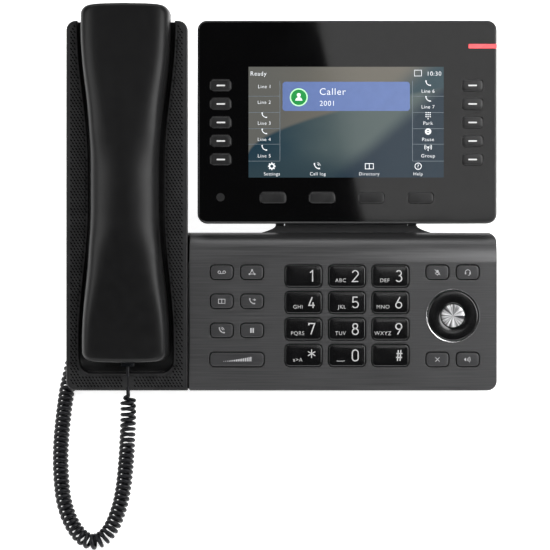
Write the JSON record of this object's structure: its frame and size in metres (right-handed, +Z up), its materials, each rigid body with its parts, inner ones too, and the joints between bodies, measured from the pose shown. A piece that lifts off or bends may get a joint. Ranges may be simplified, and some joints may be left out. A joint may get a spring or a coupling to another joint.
{
  "type": "desk ip phone",
  "caption": "Desk IP phone with a handset on a side cradle and curly cord, a sprung dial pad, and a tilting display head with line keys on a short neck.",
  "frame": {"origin": "middle of the phone's box at desk level, leaving out the handset cord", "axes": "+X to the user's right, user at -Y, +Z up from the desk"},
  "size_m": [0.2518, 0.2873, 0.1371],
  "materials": {
    "cradle_black": "fine embossed texture, satin",
    "panel_anthracite": "brushed, satin",
    "case_black": "fine grain",
    "foot_rubber": "matt",
    "socket_grey": "plated shell",
    "board_green": "solder mask",
    "speaker_dark": "painted basket and magnet",
    "pin_steel": "ground",
    "screw_steel": "zinc plated",
    "head_black": "satin",
    "glass_black": "polished",
    "screen": "lit colour screen",
    "lamp_red": "translucent",
    "handset_black": "satin",
    "capsule_grey": "plain",
    "cord_black": "soft sheen",
    "plug_dark": "smoked clear",
    "key_anthracite": "satin, pale icons",
    "key_black": "polished, pale legends",
    "ok_metal": "spun"
  },
  "bodies": {
    "root": {"cradle_shell": "cradle_black", "keypad_panel": "panel_anthracite", "bottom_cover": "case_black", "foot_stand": "case_black", "rubber_feet": "foot_rubber", "network_sockets": "socket_grey", "main_board": "board_green", "loudspeaker": "speaker_dark", "neck_arm": "case_black", "hinge_pin": "pin_steel", "housing_screws": "screw_steel", "handset_cord": "cord_black", "base_plug": "plug_dark"},
    "display_head": {"display_back": "head_black", "display_glass": "glass_black", "display_module": "screen", "message_lamp": "lamp_red"},
    "handset": {"handset_back": "handset_black", "handset_front": "handset_black", "handset_capsules": "capsule_grey", "handset_plug": "plug_dark"},
    "dial_key_1": {"dial_key_1": "key_black"},
    "dial_key_2": {"dial_key_2": "key_black"},
    "dial_key_3": {"dial_key_3": "key_black"},
    "dial_key_4": {"dial_key_4": "key_black"},
    "dial_key_5": {"dial_key_5": "key_black"},
    "dial_key_6": {"dial_key_6": "key_black"},
    "dial_key_7": {"dial_key_7": "key_black"},
    "dial_key_8": {"dial_key_8": "key_black"},
    "dial_key_9": {"dial_key_9": "key_black"},
    "dial_key_star": {"dial_key_star": "key_black"},
    "dial_key_0": {"dial_key_0": "key_black"},
    "dial_key_hash": {"dial_key_hash": "key_black"},
    "voicemail_key": {"voicemail_key": "key_anthracite"},
    "conference_key": {"conference_key": "key_anthracite"},
    "contacts_key": {"contacts_key": "key_anthracite"},
    "transfer_key": {"transfer_key": "key_anthracite"},
    "call_log_key": {"call_log_key": "key_anthracite"},
    "hold_key": {"hold_key": "key_anthracite"},
    "volume_rocker": {"volume_rocker": "key_anthracite"},
    "mute_key": {"mute_key": "key_anthracite"},
    "headset_key": {"headset_key": "key_anthracite"},
    "end_call_key": {"end_call_key": "key_anthracite"},
    "loudspeaker_key": {"loudspeaker_key": "key_anthracite"},
    "navigation_ring": {"navigation_ring": "key_black"},
    "ok_button": {"ok_button": "ok_metal"},
    "line_key_1": {"line_key_1": "key_black"},
    "line_key_2": {"line_key_2": "key_black"},
    "line_key_3": {"line_key_3": "key_black"},
    "line_key_4": {"line_key_4": "key_black"},
    "line_key_5": {"line_key_5": "key_black"},
    "line_key_6": {"line_key_6": "key_black"},
    "line_key_7": {"line_key_7": "key_black"},
    "line_key_8": {"line_key_8": "key_black"},
    "line_key_9": {"line_key_9": "key_black"},
    "line_key_10": {"line_key_10": "key_black"},
    "soft_key_1": {"soft_key_1": "key_black"},
    "soft_key_2": {"soft_key_2": "key_black"},
    "soft_key_3": {"soft_key_3": "key_black"},
    "soft_key_4": {"soft_key_4": "key_black"}
  },
  "joints": [
    {"name": "display_tilt", "type": "hinge", "parent": "root", "child": "display_head", "pos_m": [0.0371, -0.00085, 0.0491], "axis": [1, 0, 0], "range_deg": [0, 20]},
    {"name": "handset_lift", "type": "slide", "parent": "root", "child": "handset", "axis": [0, -0.4695, 0.8829], "range_m": [0, 0.05]},
    {"name": "dial_key_1_press", "type": "slide", "parent": "root", "child": "dial_key_1", "axis": [0, 0.4695, -0.8829], "range_m": [0, 0.0008], "stiffness_N_per_m": 400, "springref_m": -0.001},
    {"name": "dial_key_2_press", "type": "slide", "parent": "root", "child": "dial_key_2", "axis": [0, 0.4695, -0.8829], "range_m": [0, 0.0008], "stiffness_N_per_m": 400, "springref_m": -0.001},
    {"name": "dial_key_3_press", "type": "slide", "parent": "root", "child": "dial_key_3", "axis": [0, 0.4695, -0.8829], "range_m": [0, 0.0008], "stiffness_N_per_m": 400, "springref_m": -0.001},
    {"name": "dial_key_4_press", "type": "slide", "parent": "root", "child": "dial_key_4", "axis": [0, 0.4695, -0.8829], "range_m": [0, 0.0008], "stiffness_N_per_m": 400, "springref_m": -0.001},
    {"name": "dial_key_5_press", "type": "slide", "parent": "root", "child": "dial_key_5", "axis": [0, 0.4695, -0.8829], "range_m": [0, 0.0008], "stiffness_N_per_m": 400, "springref_m": -0.001},
    {"name": "dial_key_6_press", "type": "slide", "parent": "root", "child": "dial_key_6", "axis": [0, 0.4695, -0.8829], "range_m": [0, 0.0008], "stiffness_N_per_m": 400, "springref_m": -0.001},
    {"name": "dial_key_7_press", "type": "slide", "parent": "root", "child": "dial_key_7", "axis": [0, 0.4695, -0.8829], "range_m": [0, 0.0008], "stiffness_N_per_m": 400, "springref_m": -0.001},
    {"name": "dial_key_8_press", "type": "slide", "parent": "root", "child": "dial_key_8", "axis": [0, 0.4695, -0.8829], "range_m": [0, 0.0008], "stiffness_N_per_m": 400, "springref_m": -0.001},
    {"name": "dial_key_9_press", "type": "slide", "parent": "root", "child": "dial_key_9", "axis": [0, 0.4695, -0.8829], "range_m": [0, 0.0008], "stiffness_N_per_m": 400, "springref_m": -0.001},
    {"name": "dial_key_star_press", "type": "slide", "parent": "root", "child": "dial_key_star", "axis": [0, 0.4695, -0.8829], "range_m": [0, 0.0008], "stiffness_N_per_m": 400, "springref_m": -0.001},
    {"name": "dial_key_0_press", "type": "slide", "parent": "root", "child": "dial_key_0", "axis": [0, 0.4695, -0.8829], "range_m": [0, 0.0008], "stiffness_N_per_m": 400, "springref_m": -0.001},
    {"name": "dial_key_hash_press", "type": "slide", "parent": "root", "child": "dial_key_hash", "axis": [0, 0.4695, -0.8829], "range_m": [0, 0.0008], "stiffness_N_per_m": 400, "springref_m": -0.001},
    {"name": "voicemail_key_press", "type": "slide", "parent": "root", "child": "voicemail_key", "axis": [0, 0.4695, -0.8829], "range_m": [0, 0.0008], "stiffness_N_per_m": 400, "springref_m": -0.001},
    {"name": "conference_key_press", "type": "slide", "parent": "root", "child": "conference_key", "axis": [0, 0.4695, -0.8829], "range_m": [0, 0.0008], "stiffness_N_per_m": 400, "springref_m": -0.001},
    {"name": "contacts_key_press", "type": "slide", "parent": "root", "child": "contacts_key", "axis": [0, 0.4695, -0.8829], "range_m": [0, 0.0008], "stiffness_N_per_m": 400, "springref_m": -0.001},
    {"name": "transfer_key_press", "type": "slide", "parent": "root", "child": "transfer_key", "axis": [0, 0.4695, -0.8829], "range_m": [0, 0.0008], "stiffness_N_per_m": 400, "springref_m": -0.001},
    {"name": "call_log_key_press", "type": "slide", "parent": "root", "child": "call_log_key", "axis": [0, 0.4695, -0.8829], "range_m": [0, 0.0008], "stiffness_N_per_m": 400, "springref_m": -0.001},
    {"name": "hold_key_press", "type": "slide", "parent": "root", "child": "hold_key", "axis": [0, 0.4695, -0.8829], "range_m": [0, 0.0008], "stiffness_N_per_m": 400, "springref_m": -0.001},
    {"name": "volume_rock", "type": "hinge", "parent": "root", "child": "volume_rocker", "pos_m": [-0.0253, -0.08017, 0.02278], "axis": [0, 0.8829, 0.4695], "range_deg": [-3, 3], "stiffness_Nm_per_rad": 0.3},
    {"name": "mute_key_press", "type": "slide", "parent": "root", "child": "mute_key", "axis": [0, 0.4695, -0.8829], "range_m": [0, 0.0008], "stiffness_N_per_m": 400, "springref_m": -0.001},
    {"name": "headset_key_press", "type": "slide", "parent": "root", "child": "headset_key", "axis": [0, 0.4695, -0.8829], "range_m": [0, 0.0008], "stiffness_N_per_m": 400, "springref_m": -0.001},
    {"name": "end_call_key_press", "type": "slide", "parent": "root", "child": "end_call_key", "axis": [0, 0.4695, -0.8829], "range_m": [0, 0.0008], "stiffness_N_per_m": 400, "springref_m": -0.001},
    {"name": "loudspeaker_key_press", "type": "slide", "parent": "root", "child": "loudspeaker_key", "axis": [0, 0.4695, -0.8829], "range_m": [0, 0.0008], "stiffness_N_per_m": 400, "springref_m": -0.001},
    {"name": "navigation_rock", "type": "hinge", "parent": "root", "child": "navigation_ring", "pos_m": [0.0972, -0.05832, 0.03451], "axis": [1, 0, 0], "range_deg": [-2.5, 2.5], "stiffness_Nm_per_rad": 0.3},
    {"name": "ok_button_press", "type": "slide", "parent": "root", "child": "ok_button", "axis": [0, 0.4695, -0.8829], "range_m": [0, 0.0008], "stiffness_N_per_m": 400, "springref_m": -0.001},
    {"name": "line_key_1_press", "type": "slide", "parent": "display_head", "child": "line_key_1", "axis": [0, 0.4695, -0.8829], "range_m": [0, 0.0008], "stiffness_N_per_m": 400, "springref_m": -0.001},
    {"name": "line_key_2_press", "type": "slide", "parent": "display_head", "child": "line_key_2", "axis": [0, 0.4695, -0.8829], "range_m": [0, 0.0008], "stiffness_N_per_m": 400, "springref_m": -0.001},
    {"name": "line_key_3_press", "type": "slide", "parent": "display_head", "child": "line_key_3", "axis": [0, 0.4695, -0.8829], "range_m": [0, 0.0008], "stiffness_N_per_m": 400, "springref_m": -0.001},
    {"name": "line_key_4_press", "type": "slide", "parent": "display_head", "child": "line_key_4", "axis": [0, 0.4695, -0.8829], "range_m": [0, 0.0008], "stiffness_N_per_m": 400, "springref_m": -0.001},
    {"name": "line_key_5_press", "type": "slide", "parent": "display_head", "child": "line_key_5", "axis": [0, 0.4695, -0.8829], "range_m": [0, 0.0008], "stiffness_N_per_m": 400, "springref_m": -0.001},
    {"name": "line_key_6_press", "type": "slide", "parent": "display_head", "child": "line_key_6", "axis": [0, 0.4695, -0.8829], "range_m": [0, 0.0008], "stiffness_N_per_m": 400, "springref_m": -0.001},
    {"name": "line_key_7_press", "type": "slide", "parent": "display_head", "child": "line_key_7", "axis": [0, 0.4695, -0.8829], "range_m": [0, 0.0008], "stiffness_N_per_m": 400, "springref_m": -0.001},
    {"name": "line_key_8_press", "type": "slide", "parent": "display_head", "child": "line_key_8", "axis": [0, 0.4695, -0.8829], "range_m": [0, 0.0008], "stiffness_N_per_m": 400, "springref_m": -0.001},
    {"name": "line_key_9_press", "type": "slide", "parent": "display_head", "child": "line_key_9", "axis": [0, 0.4695, -0.8829], "range_m": [0, 0.0008], "stiffness_N_per_m": 400, "springref_m": -0.001},
    {"name": "line_key_10_press", "type": "slide", "parent": "display_head", "child": "line_key_10", "axis": [0, 0.4695, -0.8829], "range_m": [0, 0.0008], "stiffness_N_per_m": 400, "springref_m": -0.001},
    {"name": "soft_key_1_press", "type": "slide", "parent": "display_head", "child": "soft_key_1", "axis": [0, 0.4695, -0.8829], "range_m": [0, 0.0008], "stiffness_N_per_m": 400, "springref_m": -0.001},
    {"name": "soft_key_2_press", "type": "slide", "parent": "display_head", "child": "soft_key_2", "axis": [0, 0.4695, -0.8829], "range_m": [0, 0.0008], "stiffness_N_per_m": 400, "springref_m": -0.001},
    {"name": "soft_key_3_press", "type": "slide", "parent": "display_head", "child": "soft_key_3", "axis": [0, 0.4695, -0.8829], "range_m": [0, 0.0008], "stiffness_N_per_m": 400, "springref_m": -0.001},
    {"name": "soft_key_4_press", "type": "slide", "parent": "display_head", "child": "soft_key_4", "axis": [0, 0.4695, -0.8829], "range_m": [0, 0.0008], "stiffness_N_per_m": 400, "springref_m": -0.001}
  ]
}
